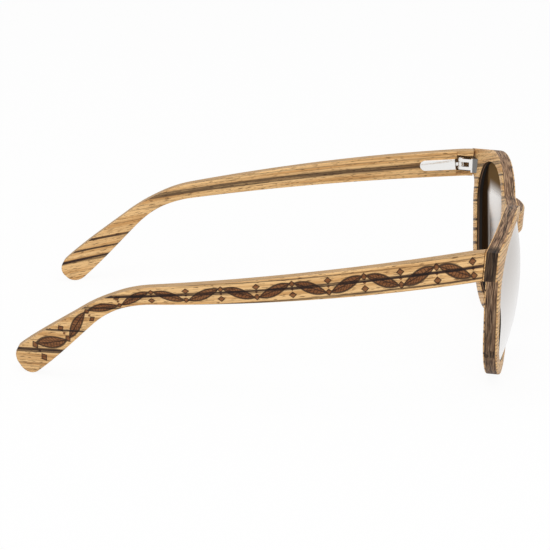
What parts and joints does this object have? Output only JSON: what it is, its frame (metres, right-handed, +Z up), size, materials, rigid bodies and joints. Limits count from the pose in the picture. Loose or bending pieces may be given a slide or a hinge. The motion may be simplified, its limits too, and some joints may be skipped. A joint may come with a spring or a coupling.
{
  "type": "sunglasses",
  "caption": "Wooden sunglasses with a laminated, gently wrapped front, bowed folding temples on spring hinges and mirrored brown lenses.",
  "frame": {"origin": "middle of the footprint, on the surface that the rims and the temple tips stand on", "axes": "+Z up, +Y from the front to the temple tips, +X to the wearer's left; metres"},
  "size_m": [0.1508, 0.1544, 0.0522],
  "materials": {
    "veneer": "satin",
    "core": "satin",
    "lens": "mirrored",
    "steel": "satin"
  },
  "bodies": {
    "front": {"front_veneer": "veneer", "groove_ply": "core", "rear_core": "core", "rear_veneer": "veneer", "bridge_cap": "veneer", "left_nose_pad": "veneer", "right_nose_pad": "veneer", "left_lens": "lens", "right_lens": "lens", "left_leaf": "steel", "right_leaf": "steel"},
    "left_pivot": {"left_pin": "steel"},
    "left_slider": {"left_hook": "steel", "left_stop": "steel", "left_spring": "steel"},
    "left_temple": {"left_outer_veneer": "veneer", "left_temple_core": "core", "left_inner_veneer": "veneer", "left_housing": "steel", "left_bush": "steel"},
    "right_pivot": {"right_pin": "steel"},
    "right_slider": {"right_hook": "steel", "right_stop": "steel", "right_spring": "steel"},
    "right_temple": {"right_outer_veneer": "veneer", "right_temple_core": "core", "right_inner_veneer": "veneer", "right_housing": "steel", "right_bush": "steel"}
  },
  "joints": [
    {"name": "left_fold", "type": "hinge", "parent": "front", "child": "left_pivot", "pos_m": [0.06654, -0.05866, 0.042], "axis": [0, 0, 1], "range_deg": [0, 85]},
    {"name": "left_spread", "type": "hinge", "parent": "left_pivot", "child": "left_slider", "pos_m": [0.06654, -0.05866, 0.042], "axis": [0, 0, 1], "range_deg": [-5, 0], "stiffness_Nm_per_rad": 0.1, "springref_deg": 5.73},
    {"name": "left_slide", "type": "slide", "parent": "left_slider", "child": "left_temple", "axis": [0.2176, 0.967, -0.1323], "range_m": [0, 0.0005], "deforming": ["left_spring"]},
    {"name": "right_fold", "type": "hinge", "parent": "front", "child": "right_pivot", "pos_m": [-0.06654, -0.05866, 0.042], "axis": [0, 0, -1], "range_deg": [0, 70]},
    {"name": "right_spread", "type": "hinge", "parent": "right_pivot", "child": "right_slider", "pos_m": [-0.06654, -0.05866, 0.042], "axis": [0, 0, -1], "range_deg": [-5, 0], "stiffness_Nm_per_rad": 0.1, "springref_deg": 5.73},
    {"name": "right_slide", "type": "slide", "parent": "right_slider", "child": "right_temple", "axis": [-0.2176, 0.967, -0.1323], "range_m": [0, 0.0005], "deforming": ["right_spring"]}
  ],
  "couplings": [
    {"joint": "left_slide", "follows": "left_spread", "m_per_rad": -0.005729},
    {"joint": "right_slide", "follows": "right_spread", "m_per_rad": -0.005729}
  ]
}
